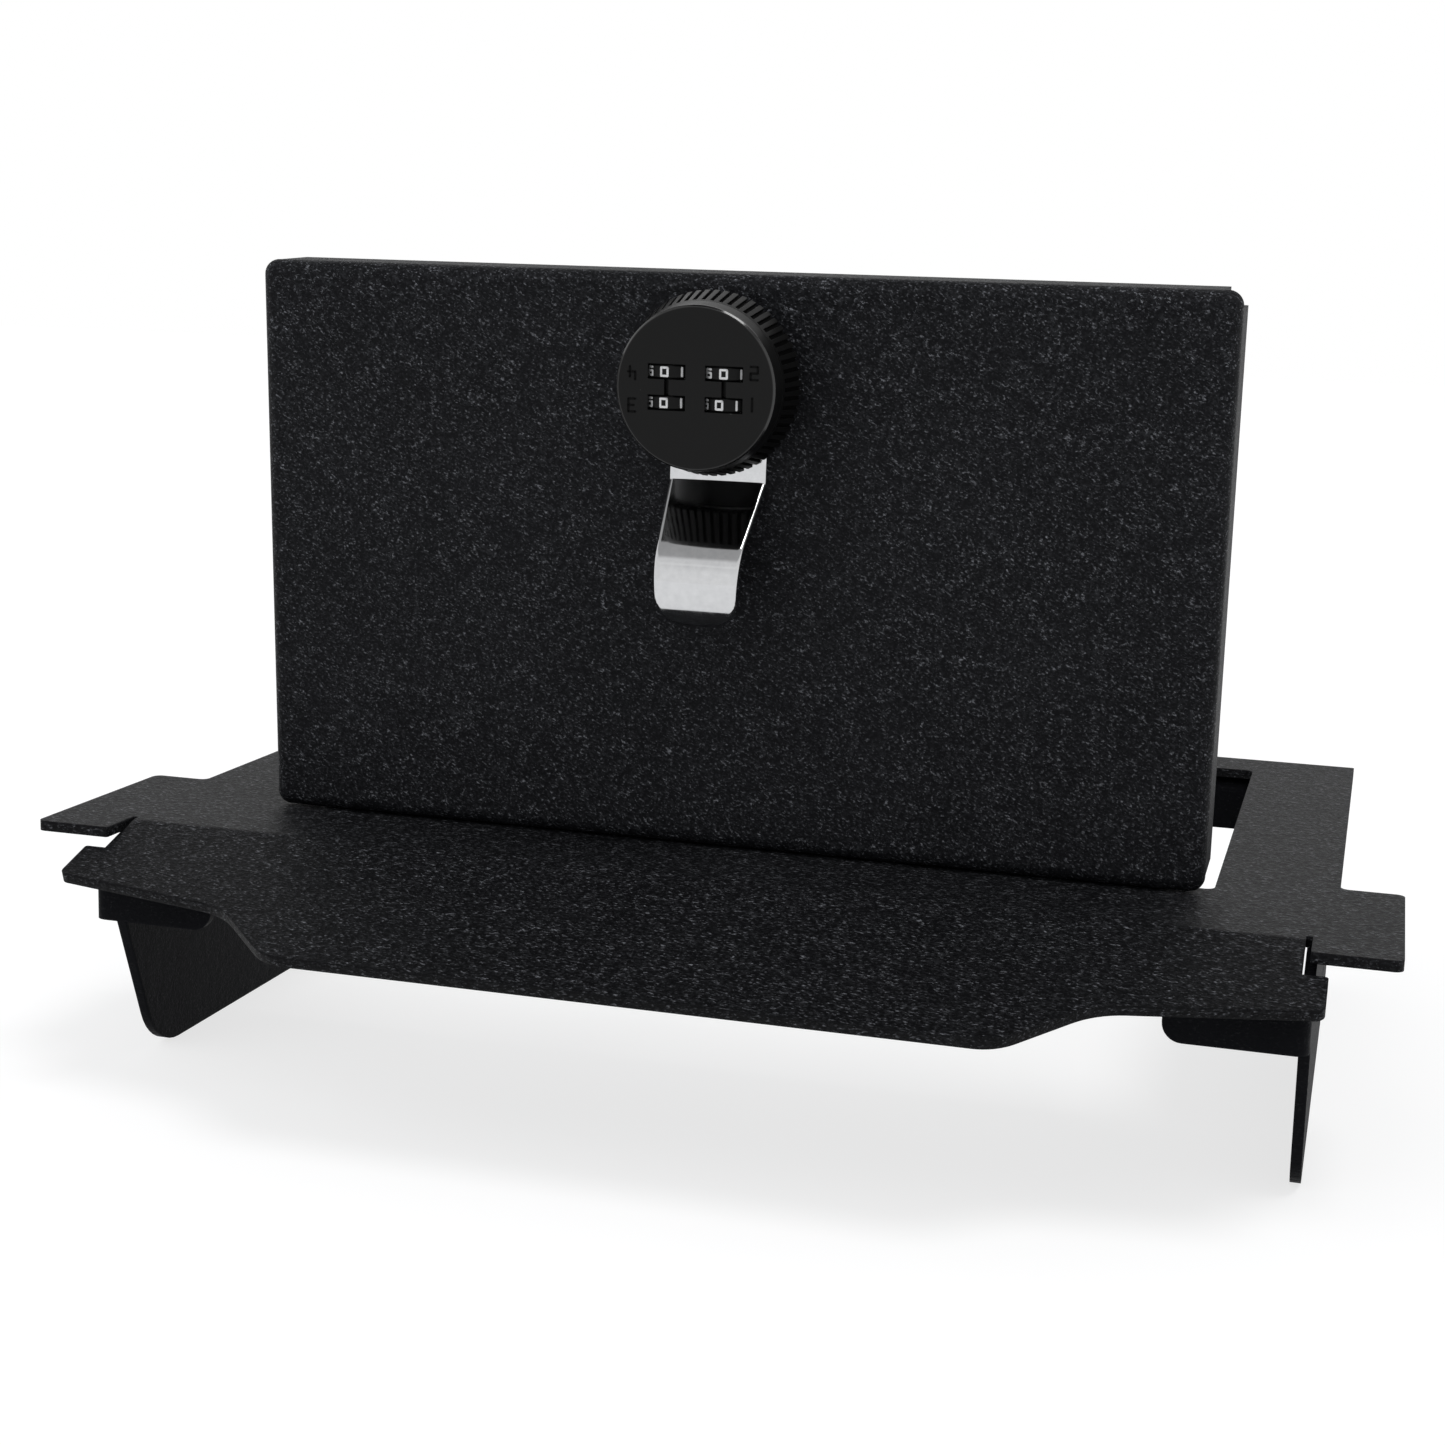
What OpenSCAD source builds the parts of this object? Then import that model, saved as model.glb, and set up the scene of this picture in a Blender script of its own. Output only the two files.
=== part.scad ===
// Top assembly of a console safe: a bent steel face plate on two side brackets, a folded pan lid
// on a continuous hinge, a pull handle, and a four-wheel combination knob that turns a cam.
//
// Modules are drawn in the plate frame: x = 0 on the centre line, y = 0 at the opening's front
// edge with +Y to the rear, z = 0 on the plate's top. placed() stands the whole part on z = 0.
// The lid's pieces are drawn in the lid frame: y runs from the hinged edge to the free edge and
// +Z points out of the lid's face. The lid stands open at rest.

/* [Face plate] */
// Thickness of the plate, brackets and rails
sheet = 2.8; // [2:0.1:3.5]
// Outer radius of a bend in that sheet
bend_r = 5.6; // [5:0.2:8]
// Width of the opening
opening_w = 267.6; // [240:0.2:300]
// Length of the opening, front to rear
opening_l = 165; // [150:1:190]
// Corner radius of the opening
opening_r = 2.5; // [1:0.5:6]
// Width of each side arm beside the opening
arm_w = 31.7; // [28:0.1:40]
// Width of the bar behind the opening
rear_bar = 19.7; // [17:0.1:30]
// Flat length in front of the opening, to the bend line
front_bar = 40.4; // [34:0.2:50]
// How far each side tab stands out beyond its arm
tab_out = 16.5; // [8:0.5:24]
// Where the tabs start behind the opening's front edge
tab_rear = 13.9; // [6:0.1:30]
// Length of the tabs ahead of the bend line
tab_ahead = 11.8; // [8:0.2:14]
// Rounding of the tab corners
tab_r = 2.4; // [1:0.2:6]

/* [Sloping nose] */
// Downward slope of the front part
slope_angle = 17.5; // [8:0.5:22]
// Length of the slope from the bend line to its front edge
slope_l = 57.3; // [52:0.1:66]
// Half width of the nose where its side curves meet the front edge
nose_half = 92.7; // [80:0.1:104]
// Half width where the side curves run out into the wings
curve_half = 113.1; // [108:0.1:122]
// Slope length at that place
curve_l = 38; // [34:0.2:44]
// Slope length at the outer corner of a wing
wing_l = 30.4; // [26:0.2:34]
// Slope length at the rear edge of a wing
wing_rear = 15.8; // [14:0.1:18]
// Rounding of the outer corner of a wing
wing_r = 2.6; // [1:0.1:5]
// How far a wing stays inside the arm's outer edge
wing_inset = 0.5; // [0:0.1:2]
// Rounding of the nose corners
nose_r = 14; // [6:0.5:20]
// Rounding of the hollow beside the nose
hollow_r = 22; // [10:0.5:26]
// Width of the slit between a tab and the slope
slit_w = 1.6; // [1.2:0.1:2.4]
// Distance from the arm's outer edge to the middle of the slit
slit_inset = 5.9; // [5.5:0.1:8]

/* [Side brackets] */
// Distance from the arm's outer edge to the bracket's outer face
bracket_inset = 3.5; // [2:0.1:6]
// Outer radius of the bracket's front bend
bracket_bend_r = 3.4; // [3.2:0.1:8]
// Height of the part from the lower edge of the brackets to the plate's top
bracket_drop = 70.3; // [55:0.1:90]
// Distance from the bend line to the face of the bracket's front flange
flange_ahead = 16.6; // [14:0.1:18]
// Width of that flange
flange_w = 35; // [25:0.5:45]
// Depth of the flange's lower edge under the plate's top
flange_drop = 24.7; // [18:0.1:30]
// Setback of the wall's slanting edge behind the flange
wall_setback = 10.6; // [7:0.1:16]
// Slant of the wall's front edge from upright
wall_slant = 22; // [0:1:30]
// Rounding of the wall's lower corners
wall_r = 18; // [6:1:24]
// Distance from the plate's rear edge to the wall's rear edge
wall_rear_inset = 10; // [6:1:30]
// Diameter of the fixing holes in the walls
fixing_d = 7.1; // [5:0.1:9]
// Height of the fixing holes above the wall's lower edge
fixing_up = 26; // [20:1:34]
// Distance from the wall's rear edge to the rear fixing hole
fixing_rear = 26; // [16:1:40]
// Distance between the two fixing holes of a wall
fixing_pitch = 60; // [40:1:70]

/* [Rails] */
// Depth of the hinge rail and the strike rail under the plate's top
rail_drop = 20; // [18:0.1:24]
// Length of the hinge rail
hinge_rail_l = 250; // [244:1:256]
// Length of the strike rail
strike_rail_l = 300; // [280:1:310]
// Width of a rail's flat leg
rail_leg = 17; // [12:0.5:17]
// Distance of the strike rail's face behind the opening's rear edge
strike_setback = 0.4; // [0.2:0.1:1]
// Width of each lid rest
rest_w = 18; // [10:1:30]
// Distance of each lid rest from the centre line
rest_x = 95; // [70:1:110]
// Gap between the closed lid and its rests
rest_gap = 0.3; // [0.2:0.1:1]

/* [Hinge] */
// Length of the hinge
hinge_l = 240; // [200:1:242]
// Number of knuckles, of which the odd ones belong to the plate
knuckles = 9; // [5:2:13]
// Thickness of the hinge leaves
leaf_t = 1.5; // [1:0.1:2]
// Diameter of the hinge pin
pin_d = 2.4; // [2:0.1:3.2]
// Radial clearance of the pin in the knuckles
pin_fit = 0.05; // [0.02:0.01:0.1]
// Gap between two knuckles
knuckle_gap = 0.5; // [0.3:0.1:1]
// Gap between the knuckles and the opening's front edge
knuckle_clear = 0.4; // [0.3:0.1:1]
// Depth of the pin's axis under the plate's top
pin_drop = 2; // [1.6:0.1:2.4]
// Width of the leaf on the plate's rail, from the pin's axis
fixed_leaf_w = 16; // [10:0.5:17]
// Width of the leaf on the lid, from the pin's axis
lid_leaf_w = 8; // [5:0.2:8]

/* [Lid] */
// Gap between the lid and the opening at each side
lid_side_gap = 2.2; // [1:0.1:4]
// Gap between the closed lid and the opening's rear edge
lid_rear_gap = 5; // [2:0.1:6]
// Thickness of the lid's sheet
lid_sheet = 2.8; // [2:0.1:3.2]
// Outer radius of the lid's bends
lid_bend_r = 4; // [3.6:0.1:6]
// Depth of the folded pan
lid_depth = 20; // [18:0.2:21]
// Height of the closed lid's face above the hinge pin's axis
lid_proud = 11.8; // [11.6:0.1:12.4]
// Extra relief of the folds beyond each corner
corner_relief = 0.5; // [0.3:0.1:2]
// Angle to which the lid stands open
open_angle = 93; // [90:1:93]

/* [Handle] */
// Thickness of the handle's strip
handle_t = 1.5; // [1.2:0.1:2]
// Width of the strip at the lock
handle_w = 25.8; // [22:0.2:30]
// Width of the strip at its rounded end
handle_end_w = 22.2; // [18:0.2:26]
// Distance from the knob's axis to the handle's first bend
handle_bend = 25.2; // [24.6:0.2:30]
// Angle at which the strip leaves the lid
handle_rise = 43.4; // [30:0.2:55]
// Height of the grip's outer face above the lid
handle_h = 20.6; // [16:0.1:24]
// Outer radius of the grip's curl
curl_r = 14; // [9:0.1:15]
// Angle of the curl beyond its highest line
curl_end = 76; // [40:1:80]
// Rounding of the grip's corners
handle_corner = 4.4; // [2:0.2:8]

/* [Knob] */
// Distance from the lid's free edge to the knob's axis
knob_from_edge = 27.2; // [26.4:0.1:40]
// Height of the knob's face above the lid
knob_h = 25; // [24.6:0.1:30]
// Diameter of the knob's face
knob_face_d = 41.6; // [40.4:0.1:46]
// Diameter where the smooth band meets the grooved grip
knob_band_d = 43; // [42:0.1:47]
// Diameter of the knob at its back
knob_back_d = 47.8; // [47:0.1:52]
// Height of the knob's back above the lid
knob_back_h = 9.5; // [9:0.1:9.8]
// Height of the smooth band behind the face
band_h = 5; // [4.4:0.1:6]
// Number of grooves around the grip
grooves = 60; // [36:4:72]
// Width of the grooves
groove_w = 1.1; // [0.6:0.1:1.4]
// Depth of the grooves
groove_depth = 0.9; // [0.4:0.1:1.1]
// Thickness of the knob's wall at its front
knob_wall = 1.8; // [1.6:0.1:2.2]
// Running gap between the knob and the pieces it turns on
knob_gap = 0.4; // [0.3:0.1:0.8]

/* [Number wheels] */
// Diameter of a number wheel
wheel_d = 14.4; // [13:0.1:14.6]
// Thickness of a number wheel
wheel_t = 3.3; // [2.4:0.1:3.4]
// Distance between the two shafts
shaft_pitch = 15; // [14.8:0.1:15.4]
// Distance between the wheels on a shaft
wheel_pitch = 7.8; // [7.4:0.1:8.4]
// How far a wheel stands out of its window
wheel_proud = 0.2; // [0.1:0.1:0.5]
// Width of a window
window_w = 9.9; // [8:0.1:11]
// Height of a window beyond the wheel's thickness
window_gap = 0.5; // [0.4:0.1:0.8]
// Width of the slot that joins two windows
slot_w = 1.2; // [0.6:0.1:2]
// Depth of that slot
slot_depth = 1.8; // [0.4:0.1:2]
// Diameter of the wheel shafts
shaft_d = 3; // [2:0.1:3.6]
// Radial clearance of a wheel on its shaft
shaft_fit = 0.05; // [0.02:0.01:0.1]

/* [Lock] */
// Diameter of the threaded barrel
barrel_d = 19; // [18:0.1:20]
// Distance between the flats of the barrel
barrel_flats = 15.8; // [14:0.1:17]
// Length of the barrel behind the lid's face
barrel_l = 28.5; // [26:0.1:28.6]
// Diameter of the fixed hub under the knob
hub_d = 38; // [37:0.1:40]
// Thickness of the hub's wall
hub_wall = 2; // [1.5:0.1:2.2]
// Thickness of the hub's floor
hub_floor = 3.1; // [2:0.1:3.2]
// Width of the lock nut across its flats
nut_af = 24; // [22:0.5:27]
// Thickness of the lock nut
nut_t = 5; // [4:0.5:6]
// Thickness of the washer under the lock nut
washer_t = 1; // [0.6:0.1:1.6]
// Diameter of the spindle
spindle_d = 8; // [7:0.1:9]
// Distance between the flats at the spindle's end
spindle_flats = 6; // [5:0.1:6.6]
// Radial clearance of the spindle in the barrel
spindle_fit = 0.08; // [0.04:0.01:0.1]
// Depth of the cam's outer face behind the lid's face
cam_depth = 30.3; // [30.2:0.1:30.5]
// Thickness of the cam
cam_t = 2.8; // [2:0.1:3]
// Width of the cam
cam_w = 16; // [12:0.5:20]
// Length of the cam from its axis to its tip
cam_l = 41; // [39:0.5:42]
// Width of the cam nut across its flats
cam_nut_af = 13; // [12:0.5:14]
// Thickness of the cam nut
cam_nut_t = 5; // [4:0.5:6]

/* [Hidden] */
$fn = 64;

half_turn = 180;
cut_r = 0.8;
flange_r = 5;
frame_w = opening_w + 2 * arm_w;
bend_y = -front_bar;
rear_y = opening_l + rear_bar;
tab_front_y = bend_y - tab_ahead;
bend_run = bend_r * tan(slope_angle / 2);
slit_in = frame_w / 2 - slit_inset - slit_w / 2;
slit_out = slit_in + slit_w;
front_y = bend_y - slope_l * cos(slope_angle);
mid_y = (rear_y + front_y) / 2;

bracket_x = frame_w / 2 - bracket_inset;
flange_y = bend_y - flange_ahead;
wall_rear_y = rear_y - wall_rear_inset;

knuckle_r = pin_d / 2 + leaf_t;
pin_y = knuckle_clear + knuckle_r;
rail_y = pin_y - knuckle_r;
knuckle_pitch = hinge_l / knuckles;
strike_y = opening_l + strike_setback;

lid_w = opening_w - 2 * lid_side_gap;
lid_y = pin_y + knuckle_r;
lid_l = opening_l - lid_rear_gap - lid_y;
lid_floor = lid_proud - pin_drop - lid_depth;
knob_y = lid_l - knob_from_edge;

cap_back = knob_h - band_h;
cap_inside = knob_h - 2.6;
wheel_axis = knob_h + wheel_proud - wheel_d / 2;
hub_rim = knob_back_h - knob_gap;
carrier_back = handle_t + hub_floor + knob_gap;
carrier_floor = knob_back_h + 0.5;
cavity_r = knob_face_d / 2 - knob_wall - 0.4;
carrier_r = cavity_r - 0.2;
plug_r = hub_d / 2 - hub_wall - 0.6;
ear_t = 2.4;
ear_side = 4;
web_t = 1.6;
ear_y = wheel_pitch / 2 + wheel_t / 2 + knob_gap;
ear_top = wheel_axis + shaft_d / 2 + 1.4;
spring_t = 0.3;
screw_y = 13;
screw_r = 1.1;
screw_head_r = 2.2;
screw_head_h = 2;
screw_l = 13;
boss_r = 2.6;
hole_play = 0.4;
nut_back = lid_sheet + washer_t + nut_t;
cam_back = cam_depth + cam_t;
over = 1;

black = "#1b1b1d";
steel = "#8a8d90";
chrome = "#d8dadc";

// ---- helpers -------------------------------------------------------------------------------

function flat(p) = [p[0], p[1]];
function unit(v) = v / norm(v);

// The arc that rounds corner b = [x, y, radius] between the corners a and c
function arc_at(a, b, c, steps = 8) =
    b[2] == 0 ? [flat(b)] :
    let (
        u = unit(flat(a) - flat(b)),
        v = unit(flat(c) - flat(b)),
        half = acos(u * v) / 2,
        centre = flat(b) + unit(u + v) * b[2] / sin(half),
        from = flat(b) + u * b[2] / tan(half) - centre,
        to = flat(b) + v * b[2] / tan(half) - centre,
        start = atan2(from[1], from[0]),
        turn = (atan2(to[1], to[0]) - start + 3 * half_turn) % (2 * half_turn) - half_turn
    )
    [for (i = [0:steps]) centre + b[2] * [cos(start + turn * i / steps), sin(start + turn * i / steps)]];

// A polygon whose corners are [x, y, radius]
module outline(corners) {
    n = len(corners);
    polygon([for (i = [0:n - 1]) each arc_at(corners[(i + n - 1) % n], corners[i], corners[(i + 1) % n])]);
}

// A symmetrical polygon from the corners of its right half, listed front to rear
module twin_outline(right) {
    left = [for (i = [len(right) - 1:-1:0]) [-right[i][0], right[i][1], right[i][2]]];
    outline(concat(right, left));
}

// Extrudes an outline drawn in (y, z) along x, centred on the middle plane
module along_x(length) {
    translate([-length / 2, 0, 0])
        rotate([90, 0, 90])
            linear_extrude(length)
                children();
}

// A bend of the given sheet along x: its outer surface turns from +Z towards -Y
module bend(length, radius, thickness, angle) {
    rotate([90, 0, 90])
        rotate([0, 0, 90])
            rotate_extrude(angle = angle)
                translate([radius - thickness, -length / 2])
                    square([thickness, length]);
}

// A circle with two flats that face +X and -X
module flatted_circle(d, flats) {
    intersection() {
        circle(d = d);
        square([flats, d + over], center = true);
    }
}

module hexagon(af) {
    circle(r = af / 2 / cos(30), $fn = 6);
}

// The plate frame
module placed() {
    translate([0, -mid_y, bracket_drop])
        children();
}

// The sloping part's frame: z = 0 on its top, -Y runs down the slope from the bend line
module on_slope() {
    translate([0, bend_y, 0])
        rotate([slope_angle, 0, 0])
            children();
}

// The lid frame, with the lid standing open
module on_lid() {
    placed()
        translate([0, pin_y, -pin_drop])
            rotate([open_angle, 0, 0])
                translate([0, knuckle_r, lid_proud])
                    children();
}

// The knob frame: the lid frame moved to the knob's axis
module on_knob() {
    on_lid()
        translate([0, knob_y, 0])
            children();
}

// ---- face plate and what is welded under it ------------------------------------------------

module flat_outline() {
    difference() {
        twin_outline([
            [slit_in, bend_y + bend_run, 0],
            [slit_in, bend_y + bend_run + slit_w, 0],
            [slit_out, bend_y + bend_run + slit_w, 0],
            [slit_out, tab_front_y, cut_r],
            [frame_w / 2 + tab_out, tab_front_y, tab_r],
            [frame_w / 2 + tab_out, tab_rear, tab_r],
            [frame_w / 2, tab_rear, tab_r],
            [frame_w / 2, rear_y, cut_r]
        ]);
        twin_outline([
            [opening_w / 2, 0, opening_r],
            [opening_w / 2, opening_l, opening_r]
        ]);
    }
}

// Side view of the sheet in (y, z), from a little behind the bend to beyond the slope's end
module nose_profile() {
    steps = 10;
    centre = [bend_y + bend_run, -bend_r];
    lead = 3;
    down = [-cos(slope_angle), -sin(slope_angle)] * 2 * slope_l;
    function arc(r) = [for (i = [0:steps])
        centre + r * [-sin(slope_angle * i / steps), cos(slope_angle * i / steps)]];
    outer = arc(bend_r);
    inner = arc(bend_r - sheet);
    polygon(concat(
        [[centre[0] + lead, 0]], outer, [outer[steps] + down, inner[steps] + down],
        [for (i = [steps:-1:0]) inner[i]], [[centre[0] + lead, -sheet]]
    ));
}

// Plan of the nose in the slope's frame; it runs back past the bend
module slope_outline() {
    twin_outline([
        [nose_half, -slope_l, nose_r],
        [curve_half, -curve_l, hollow_r],
        [frame_w / 2 - wing_inset, -wing_l, wing_r],
        [frame_w / 2 - wing_inset, -wing_rear, cut_r],
        [slit_in, -wing_rear, 0],
        [slit_in, bend_r, 0]
    ]);
}

module faceplate() {
    color(black)
        placed() {
            translate([0, 0, -sheet])
                linear_extrude(sheet)
                    flat_outline();
            intersection() {
                along_x(frame_w)
                    nose_profile();
                on_slope()
                    translate([0, 0, -bend_r])
                        linear_extrude(2 * bend_r)
                            slope_outline();
            }
        }
}

// Everything above the underside of the slope, cut away from the brackets
module above_slope() {
    on_slope()
        translate([-frame_w, -2 * slope_l, -sheet])
            cube([2 * frame_w, 2 * slope_l, 2 * slope_l]);
}

module bracket_wall() {
    slant_y = flange_y + wall_setback;
    slant_run = (bracket_drop - flange_drop) * tan(wall_slant);
    outline([
        [flange_y + bracket_bend_r, -sheet, 0],
        [flange_y + bracket_bend_r, -flange_drop, 0],
        [slant_y, -flange_drop, 2 * cut_r],
        [slant_y + slant_run, -bracket_drop, wall_r],
        [wall_rear_y, -bracket_drop, wall_r],
        [wall_rear_y, -sheet, 0]
    ]);
}

// The right-hand bracket: an upright wall with a front flange bent inwards
module bracket() {
    difference() {
        union() {
            translate([bracket_x - sheet / 2, 0, 0])
                along_x(sheet)
                    bracket_wall();
            translate([bracket_x - bracket_bend_r, flange_y + bracket_bend_r, -flange_drop])
                rotate([0, 0, -90])
                    rotate_extrude(angle = 90)
                        translate([bracket_bend_r - sheet, 0])
                            square([sheet, flange_drop - sheet]);
            translate([bracket_x - bracket_bend_r, flange_y + sheet, 0])
                rotate([90, 0, 0])
                    linear_extrude(sheet)
                        outline([
                            [0, -flange_drop, 0],
                            [0, -sheet, 0],
                            [bracket_bend_r - flange_w, -sheet, 0],
                            [bracket_bend_r - flange_w, -flange_drop, flange_r]
                        ]);
        }
        above_slope();
        for (i = [0:1])
            translate([bracket_x, wall_rear_y - fixing_rear - i * fixing_pitch, fixing_up - bracket_drop])
                rotate([0, 90, 0])
                    cylinder(d = fixing_d, h = 4 * sheet, center = true);
    }
}

module side_bracket_right() {
    color(black)
        placed()
            bracket();
}

module side_bracket_left() {
    color(black)
        placed()
            mirror([1, 0, 0])
                bracket();
}

// An angle under the plate: its upright leg faces +Y at y = 0 and its flat leg runs to -Y
module rail(length) {
    translate([0, -bend_r, -sheet - bend_r])
        mirror([0, 1, 0])
            bend(length, bend_r, sheet, 90);
    along_x(length)
        translate([-sheet, -rail_drop])
            square([sheet, rail_drop - sheet - bend_r]);
    along_x(length)
        translate([-rail_leg, -2 * sheet])
            square([rail_leg - bend_r, sheet]);
}

module hinge_rail() {
    color(black)
        placed()
            translate([0, rail_y, 0])
                rail(hinge_rail_l);
}

module strike_rail() {
    rest_y = opening_l - lid_rear_gap - lid_sheet - 1;
    color(black)
        placed() {
            translate([0, strike_y, 0])
                mirror([0, 1, 0])
                    rail(strike_rail_l);
            for (side = [-1, 1])
                translate([side * rest_x - rest_w / 2, rest_y, lid_floor - rest_gap - sheet])
                    cube([rest_w, strike_y + sheet - rest_y, sheet]);
        }
}

// ---- hinge ---------------------------------------------------------------------------------

// The knuckles with the given parity, around the pin's axis
module knuckle_row(first, r) {
    for (i = [first:2:knuckles - 1])
        translate([-hinge_l / 2 + i * knuckle_pitch + knuckle_gap / 2, 0, 0])
            rotate([0, 90, 0])
                cylinder(r = r, h = knuckle_pitch - knuckle_gap);
}

// One leaf with its knuckles: the leaf hangs below the axis, its outer face towards -Y
module hinge_leaf(first, width) {
    notch = knuckle_r + 0.3;
    difference() {
        union() {
            knuckle_row(first, knuckle_r);
            difference() {
                translate([-hinge_l / 2 + knuckle_gap / 2, -knuckle_r, -width])
                    cube([hinge_l - knuckle_gap, leaf_t, width]);
                for (i = [1 - first:2:knuckles - 1])
                    translate([i * knuckle_pitch - (hinge_l + knuckle_gap) / 2, -knuckle_r - over, -notch])
                        cube([knuckle_pitch + knuckle_gap, 2 * leaf_t, notch + over]);
            }
        }
        rotate([0, 90, 0])
            cylinder(d = pin_d + 2 * pin_fit, h = hinge_l + 2 * over, center = true);
    }
}

module hinge_leaf_frame() {
    color(black)
        placed()
            translate([0, pin_y, -pin_drop])
                hinge_leaf(0, fixed_leaf_w);
}

module hinge_leaf_lid() {
    color(black)
        on_lid()
            translate([0, -knuckle_r, -lid_proud])
                mirror([0, 1, 0])
                    hinge_leaf(1, lid_leaf_w);
}

module hinge_pin() {
    color(steel)
        placed()
            translate([0, pin_y, -pin_drop])
                rotate([0, 90, 0])
                    cylinder(d = pin_d, h = hinge_l + 1, center = true);
}

// ---- lid -----------------------------------------------------------------------------------

// A folded edge along x: the fold's outer face lies on y = 0, and its flange hangs down and stops
// short of the corners
module folded_edge(length) {
    flange = length - 2 * corner_relief;
    translate([0, lid_bend_r, -lid_bend_r])
        bend(length, lid_bend_r, lid_sheet, 90);
    translate([-flange / 2, 0, -lid_depth])
        cube([flange, lid_sheet, lid_depth - lid_bend_r]);
}

// The rounded corner that closes two folds
module lid_corner() {
    translate([-lid_bend_r, -lid_bend_r, -lid_bend_r])
        intersection() {
            difference() {
                sphere(r = lid_bend_r);
                sphere(r = lid_bend_r - lid_sheet);
            }
            cube(lid_bend_r + over);
        }
}

module lid_pan() {
    color(black)
        on_lid()
            difference() {
                union() {
                    translate([lid_bend_r - lid_w / 2, lid_bend_r, -lid_sheet])
                        cube([lid_w - 2 * lid_bend_r, lid_l - 2 * lid_bend_r, lid_sheet]);
                    folded_edge(lid_w - 2 * lid_bend_r);
                    translate([0, lid_l, 0])
                        mirror([0, 1, 0])
                            folded_edge(lid_w - 2 * lid_bend_r);
                    for (side = [-1, 1])
                        translate([side * lid_w / 2, lid_l / 2, 0])
                            rotate([0, 0, side * 90])
                                folded_edge(lid_l - 2 * lid_bend_r);
                    for (side = [0, 1], end = [0, 1])
                        mirror([side, 0, 0])
                            translate([0, end == 0 ? lid_l : 0, 0])
                                mirror([0, end, 0])
                                    translate([lid_w / 2, 0, 0])
                                        lid_corner();
                }
                translate([0, knob_y, -2 * lid_sheet])
                    linear_extrude(4 * lid_sheet)
                        flatted_circle(barrel_d + hole_play, barrel_flats + hole_play);
            }
}

// ---- handle --------------------------------------------------------------------------------

// Side view of the strip in (y, z), from the lock towards the hinge: flat, slope and curl
module handle_profile() {
    curl_y = -handle_bend - (handle_h - curl_r * (1 - cos(handle_rise)) - handle_t) / tan(handle_rise)
        - curl_r * sin(handle_rise);
    curl_z = handle_h - curl_r;
    function curl(r, a) = [curl_y + r * sin(a), curl_z + r * cos(a)];
    polygon([
        [handle_w / 2, 0],
        [handle_w / 2, handle_t],
        [-handle_bend, handle_t],
        curl(curl_r, handle_rise),
        curl(curl_r - handle_t, handle_rise),
        [-handle_bend - handle_t * tan(handle_rise / 2), 0]
    ]);
    difference() {
        intersection() {
            translate([curl_y, curl_z])
                circle(r = curl_r);
            polygon([
                curl(0, 0),
                curl(2 * curl_r, handle_rise),
                curl(2 * curl_r, (handle_rise - curl_end) / 2),
                curl(2 * curl_r, -curl_end)
            ]);
        }
        translate([curl_y, curl_z])
            circle(r = curl_r - handle_t);
    }
}

module handle_plan() {
    end_y = -handle_bend - (handle_h - handle_t) / tan(handle_rise) - curl_r;
    end_play = 0.2;
    difference() {
        union() {
            circle(d = handle_w);
            outline([
                [-handle_end_w / 2, end_y - end_play, handle_corner],
                [handle_end_w / 2, end_y - end_play, handle_corner],
                [handle_w / 2, -handle_bend - 4, 0],
                [handle_w / 2, 0, 0],
                [-handle_w / 2, 0, 0],
                [-handle_w / 2, -handle_bend - 4, 0]
            ]);
        }
        circle(d = barrel_d + hole_play);
    }
}

module pull_handle() {
    color(chrome)
        on_knob()
            intersection() {
                along_x(2 * handle_w)
                    handle_profile();
                linear_extrude(2 * handle_h)
                    handle_plan();
            }
}

// ---- lock ----------------------------------------------------------------------------------

// The threaded barrel with the round cup that the knob turns on
module lock_housing() {
    color(black)
        on_knob()
            difference() {
                union() {
                    translate([0, 0, handle_t])
                        cylinder(d = hub_d, h = hub_rim - handle_t);
                    translate([0, 0, -barrel_l])
                        linear_extrude(barrel_l + handle_t + hub_floor / 2)
                            flatted_circle(barrel_d, barrel_flats);
                }
                translate([0, 0, -barrel_l - over])
                    cylinder(d = spindle_d + 2 * spindle_fit, h = barrel_l + knob_h);
                translate([0, 0, handle_t + hub_floor])
                    cylinder(r = hub_d / 2 - hub_wall, h = knob_h);
            }
}

module lock_washer() {
    color(steel)
        on_knob()
            translate([0, 0, -lid_sheet - washer_t])
                difference() {
                    cylinder(d = nut_af + 4, h = washer_t);
                    translate([0, 0, -over])
                        cylinder(d = barrel_d + 0.3, h = washer_t + 2 * over);
                }
}

module lock_nut() {
    color(steel)
        on_knob()
            translate([0, 0, -nut_back])
                difference() {
                    linear_extrude(nut_t)
                        hexagon(nut_af);
                    translate([0, 0, -over])
                        cylinder(d = barrel_d + 0.2, h = nut_t + 2 * over);
                }
}

module lock_spindle() {
    color(steel)
        on_knob() {
            translate([0, 0, -cam_depth + 0.2])
                cylinder(d = spindle_d, h = cam_depth - 0.2 + carrier_back);
            translate([0, 0, -cam_back - cam_nut_t - 1])
                linear_extrude(cam_t + cam_nut_t + 1.2)
                    flatted_circle(spindle_d, spindle_flats);
        }
}

module cam_washer() {
    color(steel)
        on_knob()
            translate([0, 0, -cam_depth])
                difference() {
                    cylinder(d = 2 * spindle_d, h = cam_depth - barrel_l - knob_gap);
                    translate([0, 0, -over])
                        cylinder(d = spindle_d + 0.2, h = cam_depth);
                }
}

module lock_cam() {
    color(steel)
        on_knob()
            translate([0, 0, -cam_back])
                linear_extrude(cam_t)
                    difference() {
                        outline([
                            [-cam_w / 2, -cam_w / 2, cam_w / 2.2],
                            [cam_l, -cam_w / 2, 4],
                            [cam_l, cam_w / 2, 4],
                            [-cam_w / 2, cam_w / 2, cam_w / 2.2]
                        ]);
                        flatted_circle(spindle_d + 0.1, spindle_flats + 0.1);
                    }
}

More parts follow.
